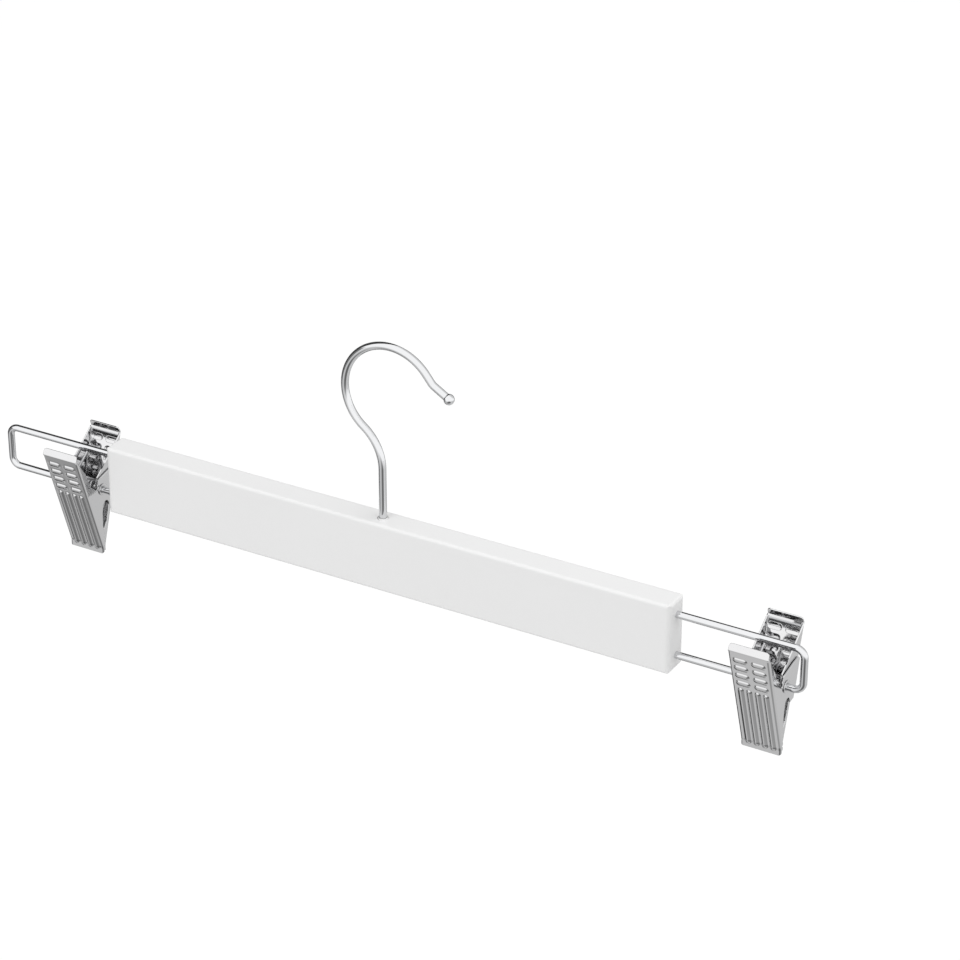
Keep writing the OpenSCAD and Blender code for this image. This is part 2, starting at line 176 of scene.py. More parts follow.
class ClipSizes(PropertyGroup):
    """Sizes of the pressed clips."""
    sheet: length("Sheet", "Thickness of the pressed sheet", 0.6)
    edge_r: length("Edge", "Rounding of the sheet's cut edges", 0.15)
    side_bend_r: length("Side bend", "Outer radius of the bends along the sides", 1.1)
    top_bend_r: length("Top bend", "Radius of the bend under the thumb lip", 0.7)
    grip_bend_r: length("Grip bend", "Radius of the bend above the grip", 6)
    rise: length("Rise", "Height of the top bend above the pivot", 18.5)
    grip_lip: length("Grip lip", "Height of the upright lip that grips", 2.7)
    thumb_lip: length("Thumb lip", "Length of the turned-in lip", 2.4)
    thumb_lean: angle("Thumb lean", "Lean of the thumb lip", 22)
    thumb_corner_r: length("Thumb corner", "Radius of the lip's corners", 2.2)
    corner_r: length("Cheek corners", "Rounding of the cheeks' outline", 0.6)
    notch_r: length("Notch", "Radius of a notch in a cheek's closing edge", 0.48)
    notch_pitch: length("Notch pitch", "Distance between the notches", 2.04)
    notch_rise: length("Lowest notch", "Height of its middle above the jaw's end", 1.62)
    notches: IntProperty(name="Notches", description="Notches in an edge", default=4, min=1)
    pad: length("Pad", "Thickness of a grip pad", 0.8)
    pad_h: length("Pad height", "Height of a grip pad", 5.4)
    pad_gap: length("Pad gap", "Gap between the closed pads", 0.3)
    pad_corner_r: length("Pad corners", "Radius of a pad's corners", 0.7)
    pad_edge_r: length("Pad edge", "Rounding of a pad's edges", 0.25)
    groove: length("Groove", "Depth of the grooves across a pad", 0.15)
    grooves: IntProperty(name="Grooves", description="Grooves across a pad", default=5, min=1)
    pivot_fit: length("Pivot fit", "Play round the pivot tube, on the radius", 0.06)
    tube_wall: length("Tube wall", "Wall of the pivot tube", 0.4)
    collar_w: length("Collar", "Width of the tube's turned-over ends", 0.6)
    collar_t: length("Collar thickness", "Thickness of the turned-over ends", 0.4)
    tube_edge_r: length("Tube edge", "Rounding of the tube's edges", 0.14)
    play: length("Play", "Play between parts that don't touch", 0.3)
    step: length("Mesh step", "Distance between the points of a pressed plate", 0.2)


class PatternSizes(PropertyGroup):
    """Sizes of the ribs and flutes pressed into the plates."""
    rib_len: length("Rib", "Length of a cross rib", 5.7)
    rib_w: length("Rib width", "Width of a cross rib", 2.5)
    height: length("Height", "Height of the pressed pattern", 0.5)
    rib_pitch: length("Rib pitch", "Distance between the rows", 3.97)
    rib_start: length("Rib start", "From the top bend to the first row", 4.1)
    rib_columns: length("Columns", "Distance between the two columns", 7.25)
    rib_rows: IntProperty(name="Rows", description="Rows of cross ribs", default=4, min=1)
    flute_w: length("Flute width", "Width of an upright flute", 2.4)
    flute_pitch: length("Flute pitch", "Distance between the flutes", 3.35)
    flutes: IntProperty(name="Flutes", description="Number of flutes", default=4, min=1)
    flute_start: length("Flute start", "From the top bend to the flutes", 18.6)
    soft: length("Softness", "How softly the pattern runs into the sheet", 0.06)


class SpringSizes(PropertyGroup):
    """Sizes of the torsion springs."""
    wire: length("Wire", "Diameter of the spring's wire", 1)
    turns: IntProperty(name="Turns", description="Whole turns", default=7, min=1)
    pitch: length("Pitch", "Distance between the turns", 1.5)
    leg_share: share("Leg height", "Height of the legs' ends, of the rise", 0.5)
    foot: length("Foot", "Length of a leg's bent end", 1.3)
    foot_turn_r: length("Foot turn", "Reach of the bend at a leg's end", 0.9)


class Finishes(PropertyGroup):
    """Colours and roughness of the finishes."""
    lacquer: colour("Lacquer", "White lacquer on the bar", 0.83, 0.83, 0.83)
    lacquer_rough: share("Lacquer roughness", "Roughness of the lacquer", 0.42)
    chrome: colour("Chrome", "Bright chrome of the wires", 0.67, 0.675, 0.685)
    chrome_rough: share("Chrome roughness", "Roughness of the chrome", 0.05)
    plate: colour("Plate", "Plating of the jaws", 0.66, 0.66, 0.665)
    plate_rough: share("Plate roughness", "Roughness of the plating", 0.05)
    spring: colour("Spring steel", "Plated spring steel", 0.6, 0.6, 0.6)
    spring_rough: share("Spring roughness", "Roughness of the springs", 0.2)
    turned: colour("Turned steel", "Steel of the pivot tubes", 0.66, 0.66, 0.665)
    turned_rough: share("Turned roughness", "Roughness of the pivot tubes", 0.22)
    bush: colour("Bush", "Pale plating of the bush and washer", 0.9, 0.9, 0.9)
    bush_rough: share("Bush roughness", "Roughness of the bush and washer", 0.6)
    rubber: colour("Rubber", "Rubber of the grip pads", 0.028, 0.028, 0.03)
    rubber_rough: share("Rubber roughness", "Roughness of the rubber", 0.65)


class StageSizes(PropertyGroup):
    """Floor, light and camera."""
    floor_drop: length("Floor drop", "How far the floor lies below the clips", 400)
    floor_size: length("Floor size", "Side of the square floor", 9000)
    floor_colour: colour("Floor", "Colour of the floor", 0.85, 0.85, 0.85)
    floor_white: share("Floor white", "How far the camera sees the floor as white", 0.85)
    glow: FloatProperty(name="Glow", description="Strength of that white", default=1.05,
                        min=0.0)
    surround: share("Surround", "Light from the surround on matt surfaces", 0.8)
    ground: share("Ground", "How light the lower half looks in metal", 0.74)
    sky: FloatProperty(name="Sky", description="How light the upper half looks in metal",
                       default=1.35, min=0.0)
    horizon: FloatVectorProperty(name="Horizon", size=2, default=(-0.5, -0.08),
                                 description="Where the lower half turns into the upper")


class HangerSettings(PropertyGroup):
    """All that a user may change."""
    hook: PointerProperty(type=HookSizes)
    loop: PointerProperty(type=LoopSizes)
    clip: PointerProperty(type=ClipSizes)
    pattern: PointerProperty(type=PatternSizes)
    spring: PointerProperty(type=SpringSizes)
    finish: PointerProperty(type=Finishes)
    stage: PointerProperty(type=StageSizes)


# Shapes

def node_box(name):
    """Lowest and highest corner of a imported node, as arrays."""
    low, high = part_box(name)
    return np.array(low), np.array(high)


def unit(vectors):
    """The vectors at length one."""
    return vectors / np.linalg.norm(vectors, axis=-1, keepdims=True)


def smoothstep(x):
    """Rises from 0 to 1 with level ends: 3 x squared less 2 x cubed."""
    t = np.clip(x, 0.0, 1.0)
    return t * t * (3.0 - 2.0 * t)


def facing(angles):
    """Unit vectors at these angles, in the plane of a side view."""
    return np.stack([np.cos(angles), np.sin(angles)], axis=-1)


def bend(before, corner, after, steps):
    """Points of a parabola from before to after that the corner pulls:
    (1-t)^2 before + 2t(1-t) corner + t^2 after, with t from 0 to 1."""
    t = np.linspace(0.0, 1.0, steps)[:, None]
    return (1 - t) ** 2 * before + 2 * t * (1 - t) * corner + t ** 2 * after


def rounded(corners, radius, steps=7):
    """An open outline with its inner corners rounded, each by a bend between the points
    before and after it that are a tangent's length away."""
    corner = corners[1:-1]
    back, onward = corners[:-2] - corner, corners[2:] - corner
    room = np.minimum(np.linalg.norm(back, axis=1), np.linalg.norm(onward, axis=1)) / 2
    between = np.arccos(np.clip((unit(back) * unit(onward)).sum(axis=1), -1.0, 1.0))
    reach = np.minimum(radius / np.tan(between / 2), room)[:, None]
    before, after = corner + reach * unit(back), corner + reach * unit(onward)
    arcs = bend(before[:, None], corner[:, None], after[:, None], steps)
    return np.concatenate([corners[:1], arcs.reshape(-1, corners.shape[1]), corners[-1:]])


def mirrored(half):
    """A closed outline from its right half, whose first and last points are on the middle
    line."""
    return np.concatenate([half, half[-2:0:-1] * [-1, 1]])


def crossings(across, down):
    """The points at which columns and rows cross."""
    a, d = np.meshgrid(across, down)
    return np.stack([a.ravel(), d.ravel()], axis=-1)


def resampled(points, step):
    """The same open line with its points at equal distances of about one step."""
    run = np.linalg.norm(np.diff(points, axis=0), axis=1)
    along = np.concatenate([[0.0], np.cumsum(run)])
    at = np.linspace(0.0, along[-1], int(np.ceil(along[-1] / step)) + 1)
    return np.stack([np.interp(at, along, column) for column in points.T], axis=-1)


def grid_faces(rows, columns, close_rows=False):
    """Quads of a grid whose columns close on themselves, and whose rows may too."""
    row = np.arange(rows if close_rows else rows - 1)[:, None]
    column = np.arange(columns)[None, :]
    after, beside = (row + 1) % rows * columns, (column + 1) % columns
    row = row * columns
    quads = np.stack([row + column, row + beside, after + beside, after + column], axis=-1)
    return quads.reshape(-1, 4)


def volume(points, faces):
    """Signed volume inside closed faces, from the origin's cones on their triangles."""
    total = 0.0
    for corners in faces:
        first = points[corners[:, 0]]
        for k in range(1, corners.shape[1] - 1):
            cone = np.cross(points[corners[:, k]], points[corners[:, k + 1]])
            total += (first * cone).sum() / 6
    return total


def make_piece(name, points, faces, normals=None):
    """A smooth mesh object of closed faces, turned to point outwards. Faces is a list of
    arrays, and all the faces in one array have the same number of corners."""
    if not np.isfinite(points).all():
        raise RuntimeError(f"{name}: some of its points have no place")
    if volume(points, faces) < 0:
        faces = [corners[:, ::-1] for corners in faces]
    mesh = bpy.data.meshes.new(name)
    mesh.from_pydata(points.tolist(), [], [f for part in faces for f in part.tolist()])
    mesh.polygons.foreach_set("use_smooth", np.ones(len(mesh.polygons), bool))
    if normals is None:
        mesh.set_sharp_from_angle(angle=SHARP)
    else:
        mesh.normals_split_custom_set_from_vertices(normals.tolist())
    piece = bpy.data.objects.new(name, mesh)
    bpy.context.scene.collection.objects.link(piece)
    return piece


def swept(points, ways, side, radius, corners):
    """A round wire along a line, of one radius or of one for each point. Ring i is point i
    plus its radius times cos(k) outward + sin(k) side, where side is made square to the
    wire's way there, and outward is square to both."""
    radii = np.broadcast_to(radius, len(points))
    side = unit(np.array(side) - (ways * side).sum(axis=1, keepdims=True) * ways)
    outward = np.cross(side, ways)
    k = np.linspace(0.0, 2 * np.pi, corners, endpoint=False)[None, :, None]
    rings = outward[:, None] * np.cos(k) + side[:, None] * np.sin(k)
    shell = points[:, None] + radii[:, None, None] * rings
    last = (len(points) - 1) * corners
    caps = np.stack([np.arange(corners)[::-1], last + np.arange(corners)])
    return shell.reshape(-1, 3), [grid_faces(len(points), corners), caps]


def turned(profile, axis):
    """A turned part from a closed profile of (along, radius) points. Point (i, k) is
    along the axis, and its radius away from it at angle k."""
    corners = TURNED_CORNERS
    k = np.linspace(0.0, 2 * np.pi, corners, endpoint=False)
    round_parts = profile[:, 1:] * np.cos(k), profile[:, 1:] * np.sin(k)
    along = np.repeat(profile[:, :1], corners, axis=1)
    if axis == "X":
        shell = np.stack([along, *round_parts], axis=-1)
    else:
        shell = np.stack([*round_parts, along], axis=-1)
    return shell.reshape(-1, 3), [grid_faces(len(profile), corners, close_rows=True)]


def closed_profile(corners, radius):
    """A closed outline with every corner rounded, from its corners in order."""
    loop = np.array([*corners, corners[0], corners[1]], float)
    return rounded(loop, radius)[1:-1]


class WirePath:
    """A flat wire path in the X-Z plane, made of runs and bends. At distance s along a leg
    its heading is the leg's first heading plus s over the bend's radius."""

    def __init__(self, start, heading, legs):
        """Each leg is (length, turn), where the turn is to the left in radians."""
        self.places, self.headings, self.starts, self.curves = [], [], [], []
        place, at = np.array(start, float), 0.0
        for leg, turn in legs:
            self.places.append(place)
            self.headings.append(heading)
            self.starts.append(at)
            self.curves.append(turn / leg)
            place = self.go(place, heading, turn / leg, leg)
            heading, at = heading + turn, at + leg
        self.length = at

    @staticmethod
    def go(place, heading, curve, run):
        """The place after a run: an arc's chord where the curve is not zero."""
        half = np.asarray(curve * run / 2)
        chord = run * np.sinc(half / np.pi)
        return place + facing(heading + half) * np.expand_dims(chord, -1)

    def at(self, s):
        """Points and ways in space at distances s."""
        leg = np.clip(np.searchsorted(self.starts, s, side="right") - 1, 0, None)
        run = s - np.array(self.starts)[leg]
        heading, curve = np.array(self.headings)[leg], np.array(self.curves)[leg]
        flat = self.go(np.array(self.places)[leg], heading, curve, run)
        way = facing(heading + curve * run)
        nought = np.zeros(len(s))
        return (np.stack([flat[:, 0], nought, flat[:, 1]], axis=-1),
                np.stack([way[:, 0], nought, way[:, 1]], axis=-1))


class FoldedJaw:
    """A pressed jaw, as the flat blank that it is folded from. On the blank, across runs
    over the plate, round a side bend and into a cheek. Down runs from the top bend, at
    zero, along the plate and into the grip, and is less than zero on the thumb lip."""

    # Rows of points round a side bend, the top bend, the bend above the grip and the
    # corners of the outline
    side_rows, top_rows, grip_rows, corner_rows = 10, 7, 4, 12
    # Points on a notch, from its top to its foot
    notch_points = 9
    # Distance between the outline's points, as a share of the mesh step
    outline_share = 0.8
    # Where the side bends are fully folded, in reaches of the top bend
    full_reaches = 4

    def __init__(self, settings, node, pivot, side_bends=True):
        clip = settings.clip
        low, high = node_box(node)
        self.clip, self.pattern, self.side_bends = clip, settings.pattern, side_bends
        self.width = high[0] - low[0]
        self.spread = np.abs([low[1], high[1]]).max()
        self.drop = pivot[2] - low[2]
        self.half = clip.sheet / 2
        self.bend_r = clip.side_bend_r - self.half
        self.flat = self.width / 2 - clip.side_bend_r
        grip_y = -(clip.pad_gap / 2 + clip.pad + self.half)
        self.top = np.array([-(self.spread - self.half), clip.rise])
        self.grip = np.array([grip_y, -(self.drop - clip.grip_lip)])
        run = self.grip - self.top
        self.plate = np.linalg.norm(run)
        self.slant = math.atan2(run[0], -run[1])
        self.top_reach = clip.top_bend_r * math.tan((self.slant + clip.thumb_lean) / 2)
        self.grip_reach = clip.grip_bend_r * math.tan(self.slant / 2)
        self.full_fold = self.full_reaches * self.top_reach
        self.lip_way = np.array([math.sin(clip.thumb_lean), math.cos(clip.thumb_lean)])
        self.plate_way = run / self.plate
        self.end = self.plate + clip.grip_lip
        # Middle of the bend above the grip
        self.fan = (self.grip - self.grip_reach * self.plate_way
                    - clip.grip_bend_r * facing(self.slant))

    def side_view(self, down):
        """The blank's middle line seen from the side, and the way into the clip. It is
        straight but for an arc at each bend, over which the way in turns evenly."""
        clip, reach, low_reach = self.clip, self.top_reach, self.grip_reach
        stops = [-reach, reach, self.plate - low_reach, self.plate + low_reach]
        inward = facing(np.interp(down, stops, [-clip.thumb_lean, self.slant, self.slant, 0]))
        centre = self.top + reach * self.lip_way + clip.top_bend_r * facing(-clip.thumb_lean)
        d = down[:, None]
        line = np.select(
            [d < stops[0], d < stops[1], d < stops[2], d < stops[3]],
            [self.top - d * self.lip_way, centre - clip.top_bend_r * inward,
             self.top + d * self.plate_way, self.fan + clip.grip_bend_r * inward],
            self.grip + (d - self.plate) * np.array([0.0, -1.0]))
        return line, inward

    def fold(self, across, down, off):
        """Points of the folded sheet, off its middle by a distance that is more than zero
        outside. A side bend's angle grows evenly with across, and the bend fades out from
        where it is fully folded up to the lip."""
        line, inward = self.side_view(down)
        level = np.abs(across)
        beyond = np.maximum(level - self.flat, 0.0)
        turn = np.minimum(beyond / self.bend_r, np.pi / 2)
        wide = self.flat + self.bend_r * np.sin(turn)
        deep = self.bend_r * (1 - np.cos(turn)) + beyond - self.bend_r * turn
        share = self.side_bends * smoothstep((down + self.top_reach)
                                             / (self.full_fold + self.top_reach))
        wide = np.where(beyond > 0, level + share * (wide - level), level)
        deep, turn = deep * share, turn * share
        wide = wide + off * np.sin(turn)
        flat = line + (deep - off * np.cos(turn))[:, None] * inward
        return np.stack([np.sign(across) * wide, flat[:, 0], flat[:, 1]], axis=-1)

    def unfold(self, points):
        """Blank coordinates of points of a cheek in the side view. Down is measured along
        the plate, round the bend above the grip or along the grip, and across is the length
        round the side bend and what lies beyond it."""
        out = points - self.fan
        lean = np.arctan2(out[:, 1], out[:, 0])
        from_top = points - self.top
        on_plate, on_grip = lean > self.slant, lean < 0
        arc = self.plate + self.grip_reach * (1 - 2 * lean / self.slant)
        down = np.where(on_plate, from_top @ self.plate_way,
                        np.where(on_grip, self.plate + self.grip[1] - points[:, 1], arc))
        deep = np.where(on_plate, from_top @ facing(self.slant),
                        np.where(on_grip, points[:, 0] - self.grip[0],
                                 np.linalg.norm(out, axis=1) - self.clip.grip_bend_r))
        turn = np.arccos(np.clip(1 - deep / self.bend_r, 0.0, 1.0))
        across = self.flat + self.bend_r * turn + np.maximum(deep - self.bend_r, 0.0)
        return np.stack([across, down], axis=-1)

    def shares(self, table):
        """Side-view points from a table of shares."""
        table = np.array(table, float)
        tall = np.where(table[:, 1] > 0, self.clip.rise, self.drop)
        return np.stack([table[:, 0] * self.spread, table[:, 1] * tall], axis=-1)

    def closing_edge(self):
        """The cheek's edge that closes on the other jaw, downwards, with its half-round
        notches. The last one runs straight down from its deepest point to the lower end."""
        clip, count = self.clip, self.clip.notches
        edge = np.array([-clip.pad_gap / 2, clip.notch_rise - self.drop])
        steps = np.array([0.0, clip.notch_pitch])
        mids = edge + steps * np.arange(count)[::-1, None]
        notch = clip.notch_r * facing(np.linspace(np.pi / 2, 3 * np.pi / 2, self.notch_points))
        notches = (mids[:, None] + notch).reshape(-1, 2)[:-(self.notch_points // 2)]
        foot = [edge[0] - clip.notch_r, clip.side_bend_r - self.drop]
        return np.concatenate([[edge + steps * count], notches, [foot]])

    def outline(self, cheek):
        """The blank's outline, from the lip's middle round one side to the grip's middle
        and back along the other side."""
        clip = self.clip
        lip = self.width / 2 - self.half
        top = -(clip.thumb_lip + self.half)
        square = np.array([[0, top], [lip, top], [lip, 0]])
        start = rounded(square, clip.thumb_corner_r, steps=self.corner_rows)[:-1]
        neck = np.array([[lip, -self.top_reach],
                         [self.flat + self.bend_r * np.pi / 2, self.full_fold]])
        sides = np.concatenate([start[-1:], neck, self.unfold(cheek)])
        sides = rounded(sides, clip.corner_r)[1:-1]
        closing = self.unfold(self.closing_edge())
        turn = np.linspace(np.pi / 2, 0.0, self.corner_rows)
        corner = np.stack([self.flat + self.bend_r * turn,
                           self.end - clip.side_bend_r * (1 - np.cos(turn))], axis=-1)
        corner = corner[corner[:, 0] < closing[-1, 0]]
        one = np.concatenate([start, sides, closing, corner, [[0, self.end]]])
        return mirrored(resampled(one, clip.step * self.outline_share))

    def grid(self):
        """Points of the blank between its outlines: even over the plate, and closer
        together where the sheet bends."""
        clip, step = self.clip, self.clip.step
        reach, low_reach = self.top_reach, self.grip_reach
        turn = self.flat + self.bend_r * np.linspace(0.0, np.pi / 2, self.side_rows)
        inner = np.linspace(0.0, self.flat, int(self.flat / step), endpoint=False)
        one = np.concatenate([inner, turn])
        across = np.concatenate([-one[:0:-1], one])
        rows = [np.arange(-clip.thumb_lip, -reach - step / 2, step),
                np.linspace(-reach, reach, self.top_rows),
                np.arange(reach + step, self.plate - low_reach - step / 2, step),
                np.linspace(self.plate - low_reach, self.plate + low_reach, self.grip_rows),
                np.arange(self.plate + low_reach + step, self.end, step)]
        return crossings(across, np.concatenate(rows))

    def pressed(self, across, down):
        """Height of the pressed pattern. Each rib or flute is a parabola of the distance
        from its core line, 1 - (distance / half width)^2, and the highest of them runs
        softly into the sheet as (p + sqrt(p^2 + soft^2)) / 2."""
        pattern = self.pattern
        ribs = pattern.rib_start + pattern.rib_pitch * np.arange(pattern.rib_rows)
        mids = (np.arange(pattern.flutes) - (pattern.flutes - 1) / 2) * pattern.flute_pitch
        first = pattern.flute_start + pattern.flute_w / 2

        def height(off_line, width):
            """A ridge's height at a distance off its core line."""
            return pattern.height * (1 - (off_line / (width / 2)) ** 2)

        core = (pattern.rib_len - pattern.rib_w) / 2
        beside = np.maximum(np.abs(np.abs(across) - pattern.rib_columns / 2) - core, 0.0)
        rows = np.abs(down[:, None] - ribs).min(axis=1)
        rib = height(np.hypot(beside, rows), pattern.rib_w)
        past = np.maximum(np.maximum(first - down, down - self.plate), 0.0)
        columns = np.abs(across[:, None] - mids).min(axis=1)
        flute = height(np.hypot(columns, past), pattern.flute_w)
        p = np.maximum(rib, flute)
        return (p + np.sqrt(p * p + pattern.soft ** 2)) / 2


def loop_normals(loop, hole):
    """Unit vectors across a closed flat line, out of the sheet that it bounds."""
    way = np.roll(loop, -1, axis=0) - np.roll(loop, 1, axis=0)
    area = (loop[:, 0] * np.roll(loop[:, 1], -1) - loop[:, 1] * np.roll(loop[:, 0], -1)).sum()
    sign = np.sign(area) * (-1 if hole else 1)
    return unit(np.stack([way[:, 1], -way[:, 0]], axis=-1)) * sign


def inside(points, loop):
    """Which points lie inside a closed line: those with an odd number of its sides to their
    right."""
    x, y = points[:, :1], points[:, 1:]
    x1, y1 = loop[:, 0], loop[:, 1]
    x2, y2 = np.roll(x1, -1), np.roll(y1, -1)
    spans = (y1 > y) != (y2 > y)
    rise = np.where(y2 == y1, 1.0, y2 - y1)
    return (spans & (x < (x2 - x1) * (y - y1) / rise + x1)).sum(axis=1) % 2 == 1


def nearest(points, loop):
    """Distance from each point to the nearest point of a line."""
    return np.sqrt(((points[:, None] - loop[None]) ** 2).sum(axis=-1).min(axis=1))


def triangulated(name, points, rims):
    """Triangles of a flat blank. Rims holds the numbers of each outline's points, the outer
    outline's first and then the holes'."""
    sides = np.concatenate([np.stack([own, np.roll(own, -1)], axis=-1) for own in rims])
    inside_only, nearness = 1, 1e-7
    flat = delaunay_2d_cdt((points / MM).tolist(), sides.tolist(), [], inside_only, nearness)
    if len(flat[0]) != len(points):
        raise RuntimeError(f"{name}: its blank's outline crosses itself")
    triangles = np.array(flat[2])
    hole = np.full(len(points), -1)
    for i, own in enumerate(rims[1:]):
        hole[own] = i
    holes = hole[triangles]
    in_hole = (holes >= 0).all(axis=1) & (holes == holes[:, :1]).all(axis=1)
    return triangles[~in_hole]


def sheet_shape(name, loops, grid, place, thick, edge_r, margin):
    """Points, faces and normals of a closed sheet of even thickness. Both its faces are the
    blank's triangles, placed half the thickness off its middle, and along each outline a
    profile of two quarter circles joins them. Place is a function of across, down and off."""
    half = thick / 2
    ways = [loop_normals(loop, hole=i > 0) for i, loop in enumerate(loops)]
    inset = [loop - edge_r * way for loop, way in zip(loops, ways)]
    keep = inside(grid, inset[0])
    for i, loop in enumerate(inset):
        keep &= nearest(grid, loop) > margin
        if i:
            keep &= ~inside(grid, loop)
    blank = np.concatenate([*inset, grid[keep]])
    ends = np.cumsum([len(loop) for loop in inset])
    rims = [end - len(loop) + np.arange(len(loop)) for end, loop in zip(ends, inset)]
    triangles = triangulated(name, blank, rims)

    def outward(at, off):
        """Unit vectors across the placed surface, from its slopes across and down."""
        a, d = at.T
        over = place(a + NUDGE, d, off) - place(a - NUDGE, d, off)
        down = place(a, d + NUDGE, off) - place(a, d - NUDGE, off)
        return unit(np.cross(down, over))

    a, d = blank.T
    count = len(blank)
    points = [place(a, d, half), place(a, d, -half)]
    normals = [outward(blank, half), -outward(blank, -half)]
    faces = [triangles, triangles[:, ::-1] + count]
    total = 2 * count
    quarter = np.linspace(0.0, np.pi / 2, 4)
    profile = [(t, 1) for t in quarter[1:]] + [(t, -1) for t in quarter[:0:-1]]
    for own, loop, way in zip(rims, loops, ways):
        rows = [own]
        for t, sign in profile:
            at = loop - edge_r * (1 - math.sin(t)) * way
            off = sign * (half - edge_r * (1 - math.cos(t)))
            spot = place(at[:, 0], at[:, 1], off)
            out = at + NUDGE * way
            edge = unit(place(out[:, 0], out[:, 1], off) - spot)
            points.append(spot)
            normals.append(unit(sign * math.cos(t) * outward(at, off) + math.sin(t) * edge))
            rows.append(total + np.arange(len(loop)))
            total += len(loop)
        rows.append(own + count)
        rim = np.stack(rows)
        quads = np.stack([rim[:-1], np.roll(rim[:-1], -1, axis=1),
                          np.roll(rim[1:], -1, axis=1), rim[1:]], axis=-1)
        first, second = own[:2]
        beside = (triangles == first).any(axis=1) & (triangles == second).any(axis=1)
        near = triangles[beside][0].tolist()
        if near[(near.index(first) + 1) % 3] == second:
            quads = quads[..., ::-1]
        faces.append(quads.reshape(-1, 4))
    return np.concatenate(points), faces, np.concatenate(normals)


# Finishes

class Socket:
    """A shader value. Python's operators on it add Math nodes."""

    def __init__(self, shader, socket):
        self.shader, self.socket = shader, socket

    def combine(self, operation, *values):
        """A Math node's result."""
        node = self.shader.add("ShaderNodeMath", {"operation": operation},
                               dict(enumerate(values)))
        return Socket(self.shader, node.outputs[0])

    def __add__(self, other):
        return self.combine("ADD", self, other)

    def __sub__(self, other):
        return self.combine("SUBTRACT", self, other)

    def __rsub__(self, other):
        return self.combine("SUBTRACT", other, self)

    def __mul__(self, other):
        return self.combine("MULTIPLY", self, other)

    __radd__ = __add__
    __rmul__ = __mul__

    def between(self, low, high):
        """Where the value lies between two values, from 0 to 1 with soft ends."""
        settings = {"interpolation_type": "SMOOTHSTEP"}
        values = {"Value": self, "From Min": low, "From Max": high}
        return self.shader.value("ShaderNodeMapRange", settings, values, "Result")


class Shader:
    """The node tree of one material or of the world."""

    def __init__(self, tree, output):
        tree.nodes.clear()
        self.tree = tree
        self.output = self.add(output, {}, {})

    def add(self, kind, settings, inputs):
        """A node of this kind, with its settings set first and then its sockets."""
        node = self.tree.nodes.new(kind)
        for key, value in settings.items():
            setattr(node, key, value)
        for key, value in inputs.items():
            if isinstance(value, Socket):
                self.tree.links.new(value.socket, node.inputs[key])
            else:
                node.inputs[key].default_value = value
        return node

    def value(self, kind, settings, inputs, output=0):
        """One output of a new node."""
        return Socket(self, self.add(kind, settings, inputs).outputs[output])

    def place(self, scale):
        """Object coordinates, stretched by a scale."""
        here = self.value("ShaderNodeTexCoord", {}, {}, "Object")
        return self.value("ShaderNodeMapping", {}, {"Vector": here, "Scale": scale})

    def noise(self, scale, detail, stretch=(1, 1, 1)):
        """Soft noise with this many lumps to a metre."""
        values = {"Vector": self.place(stretch), "Scale": scale, "Detail": detail}
        return self.value("ShaderNodeTexNoise", {}, values, "Fac")

    def tint(self, factor, low, high):
        """A colour between two colours. They are the Mix node's sockets 6 and 7, and the
        result is its output 2."""
        values = {"Factor": factor, 6: (*low, 1), 7: (*high, 1)}
        return self.value("ShaderNodeMix", {"data_type": "RGBA"}, values, 2)

    def bump(self, height, strength, distance, under=None):
        """A normal raised by a height from 0 to 1."""
        values = {"Height": height, "Strength": strength, "Distance": distance}
        if under is not None:
            values["Normal"] = under
        return self.value("ShaderNodeBump", {}, values)

    def surface(self, inputs):
        """Ends the tree in a Principled shader."""
        shader = self.add("ShaderNodeBsdfPrincipled", {}, inputs)
        self.tree.links.new(shader.outputs[0], self.output.inputs["Surface"])


def material(name, build, *values):
    """The named material, built once."""
    found = bpy.data.materials.get(name)
    if found is None:
        found = bpy.data.materials.new(name)
        found.use_nodes = True
        build(Shader(found.node_tree, "ShaderNodeOutputMaterial"), *values)
    return found


def shaded(hue, amount):
    """A colour and the same colour darker by a share."""
    return tuple(c * (1 - amount) for c in hue), tuple(hue)


def lacquer(shader, finish):
    """White lacquer: a trace of grain along the wood under a fine orange peel."""
    grain = shader.noise(scale=260, detail=5.0, stretch=(0.035, 1, 1))
    cloud = shader.noise(scale=22, detail=3.0)
    peel = shader.noise(scale=1500, detail=1.0)
    low, high = shaded(finish.lacquer, amount=0.02)
    under = shader.bump(grain, strength=0.05, distance=GRAIN_DEPTH)
    shader.surface({
        "Base Color": shader.tint(cloud, low, high),
        "Roughness": finish.lacquer_rough - 0.04 + cloud * 0.08,
        "Coat Weight": 0.12, "Coat Roughness": 0.2,
        "Normal": shader.bump(peel, strength=0.04, distance=PEEL_DEPTH, under=under)})


def chrome(shader, finish):
    """Bright chrome: a mirror with slightly uneven plating."""
    cloud = shader.noise(scale=70, detail=3.0)
    fine = shader.noise(scale=900, detail=2.0)
    low, high = shaded(finish.chrome, amount=0.03)
    shader.surface({
        "Base Color": shader.tint(cloud, low, high), "Metallic": 1.0,
        "Roughness": finish.chrome_rough + cloud * 0.03,
        "Normal": shader.bump(fine, strength=0.02, distance=MARK_DEPTH)})


def plating(shader, finish):
    """Plated sheet steel: fine rolling lines down the sheet under a bright plating."""
    cloud = shader.noise(scale=120, detail=3.0)
    lines = shader.noise(scale=2600, detail=3.0, stretch=(1, 0.05, 0.05))
    low, high = shaded(finish.plate, amount=0.06)
    shader.surface({
        "Base Color": shader.tint(cloud, low, high), "Metallic": 1.0,
        "Roughness": finish.plate_rough + cloud * 0.03 + lines * 0.01,
        "Normal": shader.bump(lines, strength=0.04, distance=MARK_DEPTH)})


